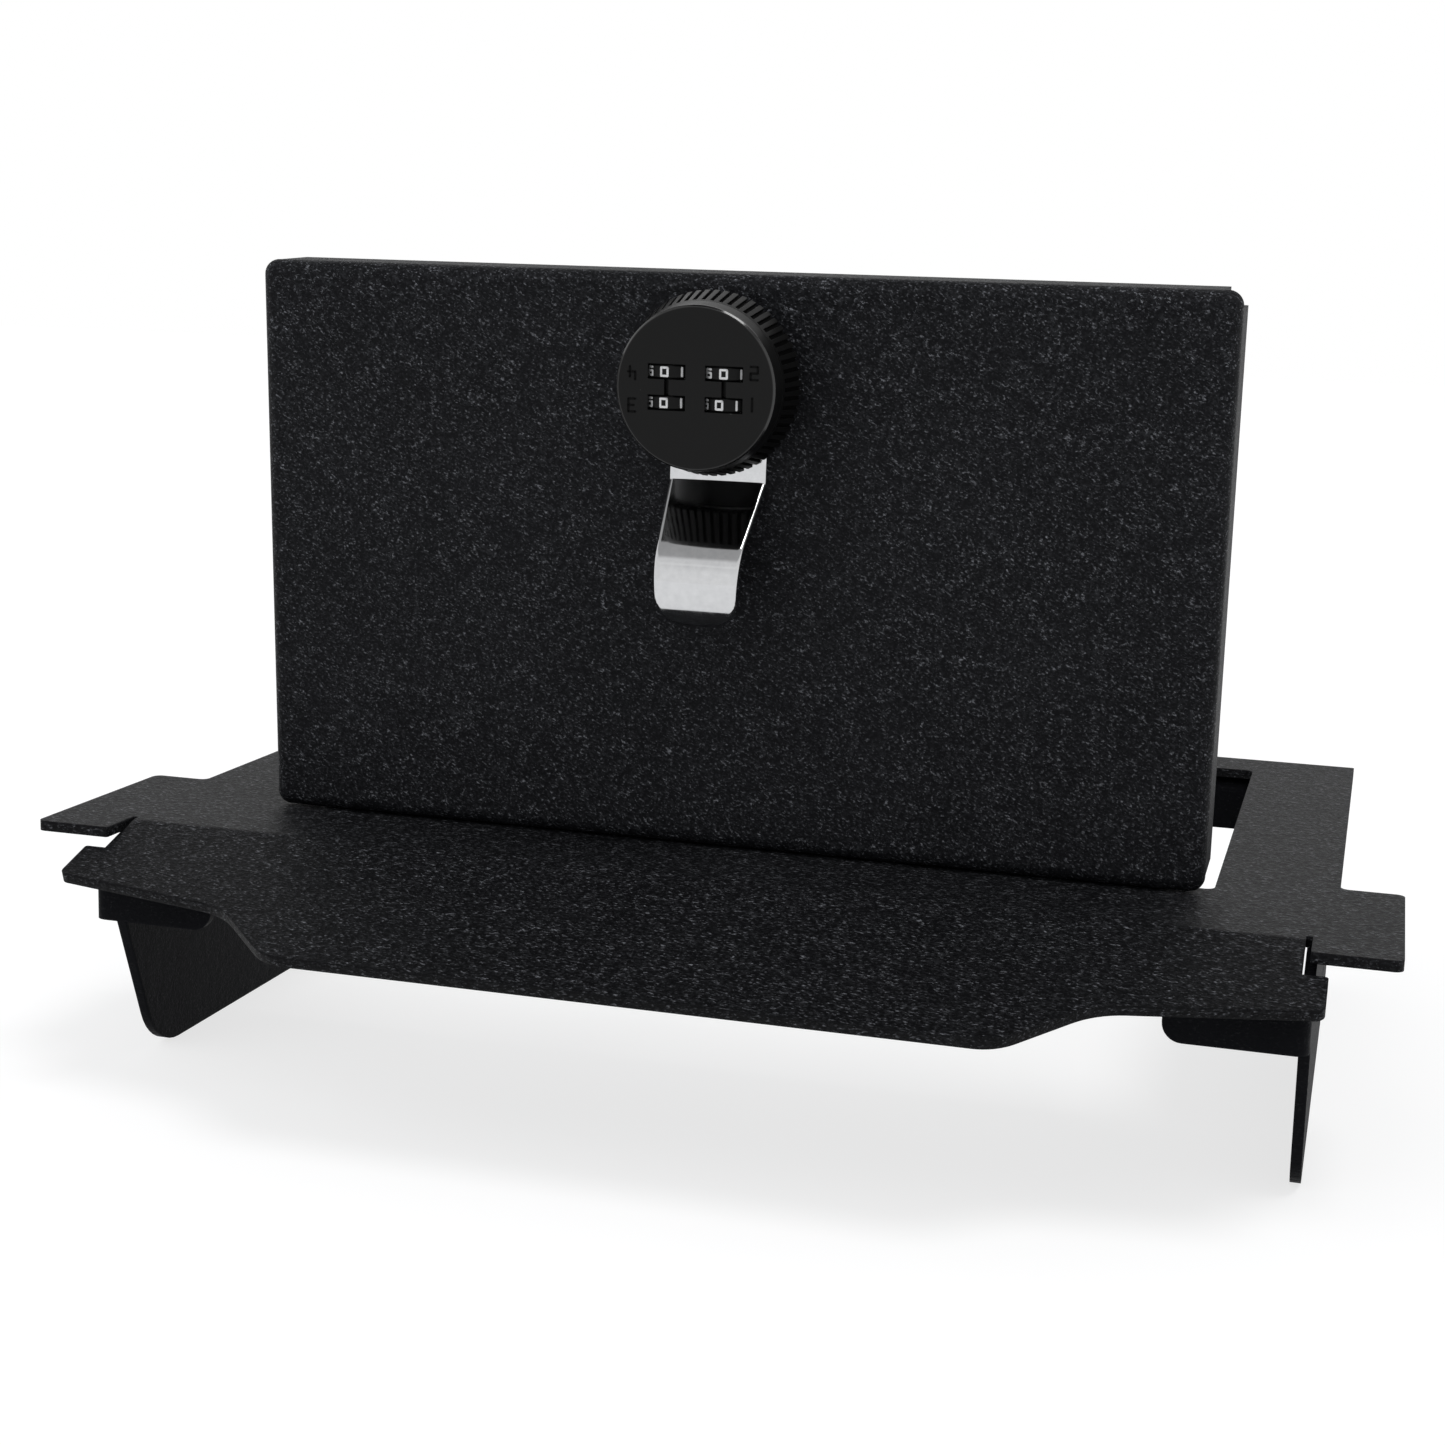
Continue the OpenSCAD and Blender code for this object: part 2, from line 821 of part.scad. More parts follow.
module cam_nut() {
    color(steel)
        on_knob()
            translate([0, 0, -cam_back - cam_nut_t])
                difference() {
                    linear_extrude(cam_nut_t)
                        hexagon(cam_nut_af);
                    translate([0, 0, -over])
                        cylinder(d = spindle_d + 0.1, h = cam_nut_t + 2 * over);
                }
}

// ---- knob ----------------------------------------------------------------------------------

module knob_grip() {
    taper = (knob_back_d - knob_band_d) / 2 / (cap_back - knob_back_h);
    edge = 0.6;
    color(black)
        on_knob()
            difference() {
                rotate_extrude()
                    polygon([
                        [cavity_r, knob_back_h],
                        [knob_back_d / 2 - edge, knob_back_h],
                        [knob_back_d / 2 - edge * taper, knob_back_h + edge],
                        [knob_band_d / 2, cap_back],
                        [cavity_r, cap_back]
                    ]);
                for (i = [0:grooves - 1])
                    rotate([0, 0, i * 360 / grooves])
                        translate([knob_back_d / 2, 0, knob_back_h])
                            rotate([0, -atan(taper), 0])
                                translate([-groove_depth, -groove_w / 2, -over])
                                    cube([2 * groove_depth, groove_w, cap_back - knob_back_h - 0.8 + over]);
            }
}

// The four windows, wheel 1 at the lower right as the open lid is seen from the front
module windows() {
    for (x = [-1, 1], y = [-1, 1])
        translate([x * shaft_pitch / 2, y * wheel_pitch / 2])
            square([window_w, wheel_t + window_gap], center = true);
}

module knob_face() {
    rim = 0.4;
    color(black)
        on_knob()
            difference() {
                union() {
                    rotate_extrude()
                        polygon([
                            [0, cap_inside],
                            [knob_face_d / 2 - knob_wall, cap_inside],
                            [knob_face_d / 2 - knob_wall, cap_back],
                            [knob_band_d / 2, cap_back],
                            [knob_face_d / 2, knob_h - rim],
                            [knob_face_d / 2 - rim, knob_h],
                            [0, knob_h]
                        ]);
                    for (side = [-1, 1])
                        translate([0, side * screw_y, carrier_floor])
                            cylinder(r = boss_r, h = cap_inside - carrier_floor + 0.5);
                }
                translate([0, 0, cap_inside - over])
                    linear_extrude(knob_h)
                        windows();
                for (x = [-1, 1], y = [-1, 1])
                    translate([x * shaft_pitch / 2, y * wheel_pitch / 2, wheel_axis])
                        rotate([90, 0, 0])
                            cylinder(d = wheel_d + 2 * knob_gap, h = wheel_t + window_gap, center = true);
                for (x = [-1, 1])
                    translate([x * shaft_pitch / 2 - slot_w / 2, -wheel_pitch / 2, knob_h - slot_depth])
                        cube([slot_w, wheel_pitch, knob_h]);
                for (side = [-1, 1])
                    translate([0, side * screw_y, carrier_floor - over])
                        cylinder(r = screw_r, h = screw_l - 3);
            }
}

// The plug inside the hub, with the ears that hold the wheel shafts
module wheel_carrier() {
    color(steel)
        on_knob()
            difference() {
                union() {
                    translate([0, 0, carrier_back])
                        cylinder(r = plug_r, h = carrier_floor - carrier_back);
                    translate([0, 0, knob_back_h])
                        cylinder(r = carrier_r, h = carrier_floor - knob_back_h);
                    for (y = [-ear_y - ear_t, ear_y])
                        translate([-shaft_pitch / 2 - ear_side, y, carrier_floor - over])
                            cube([shaft_pitch + 2 * ear_side, ear_t, ear_top - carrier_floor + over]);
                    translate([-shaft_pitch / 2 - ear_side, -web_t / 2, carrier_floor - over])
                        cube([shaft_pitch + 2 * ear_side, web_t, ear_top - carrier_floor + over]);
                }
                for (x = [-1, 1])
                    translate([x * shaft_pitch / 2, 0, wheel_axis])
                        rotate([90, 0, 0])
                            cylinder(d = shaft_d + 0.06, h = 4 * carrier_r, center = true);
                for (side = [-1, 1])
                    translate([0, side * screw_y, 0]) {
                        cylinder(r = screw_r + 0.1, h = knob_h);
                        cylinder(r = screw_head_r + 0.2, h = carrier_back + screw_head_h);
                    }
            }
}

module wheel_shaft(side) {
    color(steel)
        on_knob()
            translate([side * shaft_pitch / 2, 0, wheel_axis])
                rotate([90, 0, 0])
                    cylinder(d = shaft_d, h = 2 * (ear_y + ear_t), center = true);
}

module wheel_shaft_left() {
    wheel_shaft(-1);
}

module wheel_shaft_right() {
    wheel_shaft(1);
}

// A flat spring on the carrier with one rib under each wheel
module detent_spring() {
    rib_top = wheel_axis - wheel_d / 2 - 0.3;
    plate_top = carrier_floor + spring_t;
    color(steel)
        on_knob()
            for (y = [-1, 1])
                translate([0, y * wheel_pitch / 2, 0]) {
                    translate([-shaft_pitch / 2 - ear_side, -wheel_t / 2, carrier_floor])
                        cube([shaft_pitch + 2 * ear_side, wheel_t, spring_t]);
                    for (x = [-1, 1])
                        translate([x * shaft_pitch / 2 - 0.4, -wheel_t / 2, plate_top - 0.1])
                            cube([0.8, wheel_t, rib_top - plate_top + 0.1]);
                }
}

module cap_screws() {
    color(steel)
        on_knob()
            for (side = [-1, 1])
                translate([0, side * screw_y, carrier_back]) {
                    cylinder(r = screw_head_r, h = screw_head_h);
                    cylinder(r = screw_r - 0.05, h = screw_l);
                }
}

// A number wheel with ten detent notches in its side, at one of the four places
module number_wheel(x, y) {
    chamfer = 0.3;
    color(black)
        on_knob()
            translate([x * shaft_pitch / 2, y * wheel_pitch / 2, wheel_axis])
                rotate([90, 0, 0])
                    difference() {
                        rotate_extrude()
                            polygon([
                                [0, -wheel_t / 2],
                                [wheel_d / 2 - chamfer, -wheel_t / 2],
                                [wheel_d / 2, chamfer - wheel_t / 2],
                                [wheel_d / 2, wheel_t / 2 - chamfer],
                                [wheel_d / 2 - chamfer, wheel_t / 2],
                                [0, wheel_t / 2]
                            ]);
                        cylinder(d = shaft_d + 2 * shaft_fit, h = 2 * wheel_t, center = true);
                        for (i = [0:9])
                            rotate([0, 0, i * 36 + 18])
                                translate([wheel_d / 2 - 2, 0, wheel_t / 2 - 0.5])
                                    cylinder(r = 0.6, h = 1, $fn = 16);
                    }
}

module number_wheel_1() {
    number_wheel(1, -1);
}

module number_wheel_2() {
    number_wheel(1, 1);
}

module number_wheel_3() {
    number_wheel(-1, -1);
}

module number_wheel_4() {
    number_wheel(-1, 1);
}

faceplate();
side_bracket_left();
side_bracket_right();
hinge_rail();
strike_rail();
hinge_leaf_frame();
hinge_pin();
lid_pan();
hinge_leaf_lid();
pull_handle();
lock_housing();
lock_washer();
lock_nut();
knob_grip();
knob_face();
wheel_carrier();
wheel_shaft_left();
wheel_shaft_right();
detent_spring();
cap_screws();
lock_spindle();
cam_washer();
lock_cam();
cam_nut();
number_wheel_1();
number_wheel_2();
number_wheel_3();
number_wheel_4();
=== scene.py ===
import bpy
import bmesh
import math
from mathutils import Matrix, Vector


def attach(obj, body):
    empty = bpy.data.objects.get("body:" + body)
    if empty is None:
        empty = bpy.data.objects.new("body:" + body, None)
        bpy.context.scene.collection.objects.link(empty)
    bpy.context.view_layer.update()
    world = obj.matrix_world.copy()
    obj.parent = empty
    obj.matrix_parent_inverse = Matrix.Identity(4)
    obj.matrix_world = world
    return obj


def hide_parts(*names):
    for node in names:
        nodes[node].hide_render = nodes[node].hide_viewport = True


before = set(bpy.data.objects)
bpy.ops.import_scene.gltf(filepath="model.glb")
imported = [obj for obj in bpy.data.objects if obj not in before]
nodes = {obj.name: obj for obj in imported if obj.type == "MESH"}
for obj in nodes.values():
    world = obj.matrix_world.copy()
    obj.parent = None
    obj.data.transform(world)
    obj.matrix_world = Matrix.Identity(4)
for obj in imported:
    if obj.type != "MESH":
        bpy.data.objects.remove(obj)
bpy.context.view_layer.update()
MM = 0.001

# ---- frames of the open lid and the knob, as in part.scad, in metres --------------------------
OPEN_ANGLE = math.radians(93)
PIN = Vector((0, -0.041726, 0.0683))  # the hinge pin
LID_FROM_PIN = Matrix.Translation((0, 0.0027, 0.0118))  # to the outer face at the hinged edge
KNOB_ON_LID = Matrix.Translation((0, 0.127, 0))
LID = Matrix.Translation(PIN) @ Matrix.Rotation(OPEN_ANGLE, 4, "X") @ LID_FROM_PIN
KNOB = LID @ KNOB_ON_LID  # z points away from the lid
KNOB_H = 0.025
WHEEL_R = 0.0072
WHEEL_AXIS = 0.0180  # height of the wheels' axes over the lid
GRIP_BACK = (0.0239, 0.0095)  # radius and height of the grooved cone at its back
GRIP_FRONT = (0.0215, 0.0200)  # and where the smooth band begins
RIM_R = 0.0204


# ---- node helpers ------------------------------------------------------------------------------
def material(name):
    m = bpy.data.materials.new(name)
    m.use_nodes = True
    nt = m.node_tree
    return m, nt, nt.nodes["Principled BSDF"]


def coords(nt, scale=(1, 1, 1), turn=(0, 0, 0)):
    """Object coordinates in metres, scaled along axes that are turned by these degrees."""
    tc = nt.nodes.new("ShaderNodeTexCoord")
    mp = nt.nodes.new("ShaderNodeMapping")
    mp.vector_type = "TEXTURE"
    mp.inputs["Rotation"].default_value = [math.radians(t) for t in turn]
    mp.inputs["Scale"].default_value = [1 / k for k in scale]
    nt.links.new(tc.outputs["Object"], mp.inputs["Vector"])
    return mp.outputs["Vector"]


def noise(nt, vec, scale, detail=3.0, rough=0.6, dist=0.0):
    n = nt.nodes.new("ShaderNodeTexNoise")
    n.inputs["Scale"].default_value = scale
    n.inputs["Detail"].default_value = detail
    n.inputs["Roughness"].default_value = rough
    n.inputs["Distortion"].default_value = dist
    nt.links.new(vec, n.inputs["Vector"])
    return n.outputs["Fac"]


def ramp(nt, fac, stops):
    r = nt.nodes.new("ShaderNodeValToRGB")
    e = r.color_ramp.elements
    e[0].position, e[0].color = stops[0][0], (*stops[0][1], 1)
    e[1].position, e[1].color = stops[-1][0], (*stops[-1][1], 1)
    for position, colour in stops[1:-1]:
        e.new(position).color = (*colour, 1)
    nt.links.new(fac, r.inputs["Fac"])
    return r.outputs["Color"]


def grey(v):
    return (v, v, v)


def greys(nt, fac, low, high):
    """A grey from low to high as the noise goes over its usual range."""
    return ramp(nt, fac, [(0.3, grey(low)), (0.7, grey(high))])


def maprange(nt, fac, source, target=(0.0, 1.0)):
    n = nt.nodes.new("ShaderNodeMapRange")
    for key, v in zip(("From Min", "From Max", "To Min", "To Max"), (*source, *target)):
        n.inputs[key].default_value = v
    nt.links.new(fac, n.inputs["Value"])
    return n.outputs["Result"]


def math_node(nt, op, a, b=None):
    n = nt.nodes.new("ShaderNodeMath")
    n.operation = op
    for socket, v in zip(n.inputs, (a, b)):
        if isinstance(v, (int, float)):
            socket.default_value = v
        elif v is not None:
            nt.links.new(v, socket)
    return n.outputs[0]


def mix_colour(nt, fac, first, second):
    """From first to second, each a colour or a socket."""
    n = nt.nodes.new("ShaderNodeMix")
    n.data_type = "RGBA"
    nt.links.new(fac, n.inputs["Factor"])
    for key, v in (("A", first), ("B", second)):
        if isinstance(v, tuple):
            n.inputs[key].default_value = (*v, 1)
        else:
            nt.links.new(v, n.inputs[key])
    return n.outputs["Result"]


def bump(nt, height, strength, distance, normal=None):
    n = nt.nodes.new("ShaderNodeBump")
    n.inputs["Strength"].default_value = strength
    n.inputs["Distance"].default_value = distance
    nt.links.new(height, n.inputs["Height"])
    if normal is not None:
        nt.links.new(normal, n.inputs["Normal"])
    return n.outputs["Normal"]


def soft_edge(nt, radius, samples=4):
    """The normal as if the edges were rounded."""
    n = nt.nodes.new("ShaderNodeBevel")
    n.samples = samples
    n.inputs["Radius"].default_value = radius
    return n.outputs["Normal"]


def away_from_edge(nt, rounded):
    """1 on the flat of a face and 0 on its edge, where the rounded normal leans."""
    geometry = nt.nodes.new("ShaderNodeNewGeometry")
    lean = nt.nodes.new("ShaderNodeVectorMath")
    lean.operation = "DOT_PRODUCT"
    nt.links.new(rounded, lean.inputs[0])
    nt.links.new(geometry.outputs["Normal"], lean.inputs[1])
    return maprange(nt, lean.outputs["Value"], (0.76, 0.97))


# ---- materials ---------------------------------------------------------------------------------
# Noise scales are per metre; edge radii and bump distances are metres.
COAT_WRINKLE = 1600
COAT_GRAIN = 1100
COAT_PATCH = 330
COAT_CLOUD = 45
COAT_EDGE = 0.0012
COAT_LOW = (0.88, 0.92, 1.12)  # the slightly blue base where it is darkest
COAT_HIGH = (1.14, 1.19, 1.42)  # and lightest
COAT_EDGE_HIGHLIGHT = 1.7  # an edge carries a painted highlight, lighter than that by this factor
# the tint of the painted glints on the coat's wrinkle tips
GLINT_TINT = (1, 1.03, 1.12)
SATIN_GRAIN = 2600
SLOW_PATCH = 140


def powder_coat(name, base, glint_grey, size=1.0, stretch=0.6, turn=(0, 0, 0), gloss=0.08):
    """Black textured powder coat: short wrinkles whose tips carry painted glints, smoother on the
    edges, which carry a painted highlight.

    base and the grey after it are how light the ground and the painted glints on the tips are, size
    scales the wrinkles, and stretch below 1 draws them out along x, turned by these degrees.
    """
    m, nt, b = material(name)
    v = coords(nt)
    streak = noise(nt, coords(nt, (stretch, 1, 1), turn), COAT_WRINKLE / size, 2.0, dist=0.3)
    grain = noise(nt, coords(nt, (stretch + 0.2, 1, 1), turn), COAT_GRAIN / size, dist=0.2)
    patch = noise(nt, v, COAT_PATCH / size, rough=0.65)
    cloud = noise(nt, v, COAT_CLOUD, rough=0.55)
    rounded = soft_edge(nt, COAT_EDGE, 6)
    face = away_from_edge(nt, rounded)
    # painted glints: the wrinkle tips, with a fainter random mottle from the grain, go lighter in
    # the base colour, less so on the edges
    tips = math_node(nt, "POWER", maprange(nt, streak, (0.56, 0.73)), 1.3)
    haze = maprange(nt, grain, (0.45, 0.72), (0.0, 0.14))
    where = math_node(nt, "MULTIPLY", maprange(nt, patch, (0.40, 0.62), (0.25, 1.0)), face)
    glints_and_mottle = math_node(nt, "ADD", math_node(nt, "MULTIPLY", tips, where),
                       math_node(nt, "MULTIPLY", haze, where))
    low, high = (tuple(base * k for k in tint) for tint in (COAT_LOW, COAT_HIGH))
    # painted highlight: the ground goes lighter on the edges, where the rounded normal leans
    ground = mix_colour(nt, face, tuple(COAT_EDGE_HIGHLIGHT * k for k in high),
                        ramp(nt, cloud, [(0.35, low), (0.65, high)]))
    colour = mix_colour(nt, glints_and_mottle, ground, tuple(glint_grey * k for k in GLINT_TINT))
    nt.links.new(colour, b.inputs["Base Color"])
    nt.links.new(maprange(nt, streak, (0.3, 0.7), (0.62, 0.46)), b.inputs["Roughness"])
    b.inputs["Specular IOR Level"].default_value = gloss
    wrinkled = bump(nt, streak, 0.5, 0.0003, rounded)
    nt.links.new(bump(nt, patch, 0.4, 0.0008, wrinkled), b.inputs["Normal"])
    return m


def satin_black(name, base, rough, spec=0.12, edge=0.0003):
    """Moulded or painted black with a low satin gloss and a fine grain."""
    m, nt, b = material(name)
    v = coords(nt)
    grain = noise(nt, v, SATIN_GRAIN, 2.0)
    slow = noise(nt, v, SLOW_PATCH)
    nt.links.new(greys(nt, slow, base * 0.9, base * 1.12), b.inputs["Base Color"])
    roughness = maprange(nt, slow, (0.3, 0.7), (rough - 0.04, rough + 0.06))
    nt.links.new(roughness, b.inputs["Roughness"])
    b.inputs["Specular IOR Level"].default_value = spec
    nt.links.new(bump(nt, grain, 0.12, 0.0001, soft_edge(nt, edge)), b.inputs["Normal"])
    return m


def knob_coords(nt):
    """Height z along the knob's axis from the lid's face, and distance r from that axis."""
    mp = nt.nodes.new("ShaderNodeMapping")
    mp.vector_type = "TEXTURE"
    mp.inputs["Location"].default_value = KNOB.to_translation()
    mp.inputs["Rotation"].default_value = KNOB.to_euler()
    tc = nt.nodes.new("ShaderNodeTexCoord")
    nt.links.new(tc.outputs["Object"], mp.inputs["Vector"])
    sep = nt.nodes.new("ShaderNodeSeparateXYZ")
    nt.links.new(mp.outputs["Vector"], sep.inputs[0])
    xx, yy = (math_node(nt, "MULTIPLY", sep.outputs[k], sep.outputs[k]) for k in "XY")
    return sep.outputs["Z"], math_node(nt, "SQRT", math_node(nt, "ADD", xx, yy))


def grip_black(name, base=0.006, groove_shade=0.001):
    """The knob's black with painted shade in its duller grooves, found by their depth below the
    cone of the grip.
    """
    m, nt, b = material(name)
    z, r = knob_coords(nt)
    cone = maprange(nt, z, (GRIP_BACK[1], GRIP_FRONT[1]), (GRIP_BACK[0], GRIP_FRONT[0]))
    shaded_groove = maprange(nt, math_node(nt, "SUBTRACT", cone, r), (0.0001, 0.0005))
    w = noise(nt, coords(nt), 500)
    ridge = greys(nt, w, base * 0.85, base * 1.15)
    # painted shade: the grooves go nearly black, where light would not reach them
    nt.links.new(mix_colour(nt, shaded_groove, ridge, grey(groove_shade)), b.inputs["Base Color"])
    nt.links.new(maprange(nt, shaded_groove, (0, 1), (0.30, 0.8)), b.inputs["Roughness"])
    b.inputs["Specular IOR Level"].default_value = 0.09
    nt.links.new(bump(nt, w, 0.1, 0.0001, soft_edge(nt, 0.00025)), b.inputs["Normal"])
    return m


def face_black(name, base=0.0055):
    """The knob's satin face with a few specks of dust and a polished rim."""
    m, nt, b = material(name)
    v = coords(nt)
    z, r = knob_coords(nt)
    rim = math_node(nt, "MULTIPLY", maprange(nt, r, (RIM_R - 0.0003, RIM_R)),
                    maprange(nt, z, (KNOB_H - 0.0008, KNOB_H - 0.0004)))
    slow = noise(nt, v, SLOW_PATCH)
    cells = nt.nodes.new("ShaderNodeTexVoronoi")
    cells.inputs["Scale"].default_value = 420
    nt.links.new(v, cells.inputs["Vector"])
    pick = nt.nodes.new("ShaderNodeSeparateColor")
    nt.links.new(cells.outputs["Color"], pick.inputs["Color"])
    speck = maprange(nt, cells.outputs["Distance"], (0.05, 0.11), (1.0, 0.0))
    dust = math_node(nt, "MULTIPLY", speck, maprange(nt, pick.outputs["Red"], (0.955, 0.96)))
    colour = mix_colour(nt, dust, greys(nt, slow, base * 0.92, base * 1.1), (0.09, 0.09, 0.085))
    nt.links.new(colour, b.inputs["Base Color"])
    nt.links.new(maprange(nt, slow, (0.3, 0.7), (0.30, 0.38)), b.inputs["Roughness"])
    b.inputs["Specular IOR Level"].default_value = 0.14
    nt.links.new(rim, b.inputs["Coat Weight"])
    b.inputs["Coat Roughness"].default_value = 0.12
    grain = noise(nt, v, SATIN_GRAIN, 2.0)
    nt.links.new(bump(nt, grain, 0.1, 0.0001, soft_edge(nt, 0.00035)), b.inputs["Normal"])
    return m


def plated(name, base=(0.55, 0.55, 0.54), rough=0.32):
    """Dull plating with fine lines across z."""
    m, nt, b = material(name)
    line = noise(nt, coords(nt, (1, 1, 14)), 900)
    slow = noise(nt, coords(nt), 90)
    darker = tuple(c * 0.9 for c in base)
    nt.links.new(ramp(nt, slow, [(0.3, darker), (0.7, base)]), b.inputs["Base Color"])
    b.inputs["Metallic"].default_value = 1.0
    roughness = maprange(nt, line, (0.3, 0.7), (rough - 0.06, rough + 0.08))
    nt.links.new(roughness, b.inputs["Roughness"])
    nt.links.new(bump(nt, line, 0.15, 0.00008, soft_edge(nt, 0.0002)), b.inputs["Normal"])
    return m


def chrome_plate(name):
    """Bright plating over polished steel, a little wavy, with faint haze."""
    m, nt, b = material(name)
    v = coords(nt)
    wave = noise(nt, v, 85, 1.0, 0.4)
    haze = noise(nt, v, 420)
    colour = ramp(nt, haze, [(0.3, (0.56, 0.565, 0.575)), (0.7, (0.62, 0.625, 0.635))])
    nt.links.new(colour, b.inputs["Base Color"])
    b.inputs["Metallic"].default_value = 1.0
    nt.links.new(maprange(nt, haze, (0.35, 0.75), (0.07, 0.13)), b.inputs["Roughness"])
    nt.links.new(bump(nt, wave, 0.12, 0.0006), b.inputs["Normal"])
    return m


def digit_paint(name):
    m, nt, b = material(name)
    w = noise(nt, coords(nt), 1500, 2.0)
    nt.links.new(greys(nt, w, 0.72, 0.84), b.inputs["Base Color"])
    b.inputs["Roughness"].default_value = 0.45
    return m


# One black coat in three copies with light and shade painted in per part: darker on the faceplate
# as painted shade, lighter with few glints on the brackets and rails as painted light, against the
# lid's copy.
coat = powder_coat("powder_coat", 0.0025, 0.17, size=0.85, stretch=0.42, turn=(0, 0, -8))
coat_lid = powder_coat("powder_coat_lid", 0.0047, 0.22, size=0.85, turn=(0, 22, 0))
coat_bracket_painted_lighter = powder_coat("powder_coat_bracket", 0.0062, 0.024, gloss=0.03)
hinge_coat = satin_black("hinge_paint", 0.008, 0.42)
face_finish = face_black("knob_face_black")
grip = grip_black("grip_black")
# the raised digits' black is painted darker than the face, as painted shade along their strokes
emboss_painted_dark = satin_black("emboss_black", 0.0022, 0.3, spec=0.06, edge=0.00008)
hub_black = satin_black("hub_black", 0.006, 0.4)
wheel_black = satin_black("wheel_black", 0.006, 0.5, edge=0.0001)
zinc = plated("zinc_plate")
pin_steel = plated("pin_steel", (0.5, 0.5, 0.5), 0.28)
chrome = chrome_plate("chrome_plate")
white = digit_paint("digit_white")

FINISH = {
    "faceplate": coat, "lid_pan": coat_lid,
    "side_bracket_left": coat_bracket_painted_lighter, "side_bracket_right": coat_bracket_painted_lighter,
    "hinge_rail": coat_bracket_painted_lighter, "strike_rail": coat_bracket_painted_lighter,
    "hinge_leaf_frame": hinge_coat, "hinge_leaf_lid": hinge_coat, "hinge_pin": pin_steel,
    "pull_handle": chrome, "lock_housing": hub_black, "knob_grip": grip, "knob_face": face_finish,
    "number_wheel_1": wheel_black, "number_wheel_2": wheel_black,
    "number_wheel_3": wheel_black, "number_wheel_4": wheel_black,
}
for name, ob in nodes.items():
    ob.data.materials.clear()
    ob.data.materials.append(FINISH.get(name, zinc))


# ---- digits ------------------------------------------------------------------------------------
# Each digit is drawn with strokes on a box 1 wide and 1 high, with square shoulders.
STROKES = {
    "0": [[(0, 0), (1, 0), (1, 1), (0, 1), (0, 0)]],
    "1": [[(0.5, 0), (0.5, 1)]],
    "2": [[(0, 1), (1, 1), (1, 0.5), (0, 0.5), (0, 0), (1, 0)]],
    "3": [[(0, 1), (1, 1), (1, 0), (0, 0)], [(0.25, 0.5), (1, 0.5)]],
    "4": [[(0, 1), (0, 0.4), (1, 0.4)], [(0.75, 0.8), (0.75, 0)]],
    "5": [[(1, 1), (0, 1), (0, 0.55), (1, 0.55), (1, 0), (0, 0)]],
    "6": [[(1, 1), (0, 1), (0, 0), (1, 0), (1, 0.55), (0, 0.55)]],
    "7": [[(0, 1), (1, 1), (0.4, 0)]],
    "8": [[(0, 0), (1, 0), (1, 1), (0, 1), (0, 0)], [(0, 0.5), (1, 0.5)]],
    "9": [[(0, 0), (1, 0), (1, 1), (0, 1), (0, 0.45), (1, 0.45)]],
}
STROKE_STEP = 0.0003  # a stroke is cut this fine, so that it can be bent round a wheel
JOIN_CORNERS = 12
WHEEL_DIGIT = (0.0023, 0.0026, 0.00056, 0.00006)  # width, height, stroke and thickness
RAISED_DIGIT = (0.0024, 0.0038, 0.00055, 0.00016)
SUNK = 0.00002  # how far a digit reaches into what carries it
WHEEL_X, WHEEL_Y = 7.5 * MM, 3.9 * MM
# The side of each wheel in x and y, and the turn in degrees that the photo shows its digits at.
WHEELS = {1: (1, -1, -9.0), 2: (1, 1, -0.5), 3: (-1, -1, -5.2), 4: (-1, 1, -4.2)}
RAISED = (("4", -16.7, 3.3), ("3", -16.6, -4.8), ("2", 15.3, 4.4), ("1", 14.9, -3.4))


def stroke_digit(char, size, name):
    """A digit of strokes with round joins, centred on the origin, standing up along z."""
    width, height, line, thick = size
    bm = bmesh.new()
    w, h, r = width - line, height - line, line / 2

    def slab(loop):
        top = [bm.verts.new((p.x, p.y, thick)) for p in loop]
        low = [bm.verts.new((p.x, p.y, 0)) for p in loop]
        bm.faces.new(top)
        for i in range(len(loop)):
            j = (i + 1) % len(loop)
            bm.faces.new((low[i], low[j], top[j], top[i]))

    turns = [2 * math.pi * k / JOIN_CORNERS for k in range(JOIN_CORNERS)]
    join = [r * Vector((math.cos(t), math.sin(t))) for t in turns]
    for path in STROKES[char]:
        points = [Vector(((x - 0.5) * w, (y - 0.5) * h)) for x, y in path]
        for p in points:
            slab([p + q for q in join])
        for p, q in zip(points, points[1:]):
            ahead = (q - p).normalized()
            side = Vector((-ahead.y, ahead.x)) * r
            n = max(1, round((q - p).length / STROKE_STEP))
            for k in range(n):
                u, v = p + (q - p) * k / n, p + (q - p) * (k + 1) / n
                slab([u - side, v - side, v + side, u + side])
    me = bpy.data.meshes.new(name)
    bm.to_mesh(me)
    bm.free()
    return me


def add_mesh(me, name, mat, body):
    ob = bpy.data.objects.new(name, me)
    bpy.context.scene.collection.objects.link(ob)
    me.materials.append(mat)
    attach(ob, body)
    return ob


def wrapped_digits(name, x, y, turn_deg):
    """Ten digits around one number wheel, upside down on the open lid."""
    parts = bmesh.new()
    for d in range(10):
        me = stroke_digit(str(d), WHEEL_DIGIT, f"{name}_{d}")
        turn = math.radians(turn_deg + 36 * d)
        for v in me.vertices:
            a = -v.co.x / WHEEL_R + turn
            r = WHEEL_R - SUNK + v.co.z
            v.co = Vector((x + r * math.sin(a), y - v.co.y, WHEEL_AXIS + r * math.cos(a)))
        parts.from_mesh(me)
        bpy.data.meshes.remove(me)
    me = bpy.data.meshes.new(name)
    parts.to_mesh(me)
    parts.free()
    me.transform(KNOB)
    return me


for i, (side_x, side_y, turn_deg) in WHEELS.items():
    name = f"digits_{i}"
    digits = wrapped_digits(name, side_x * WHEEL_X, side_y * WHEEL_Y, turn_deg)
    add_mesh(digits, name, white, f"wheel_{i}")

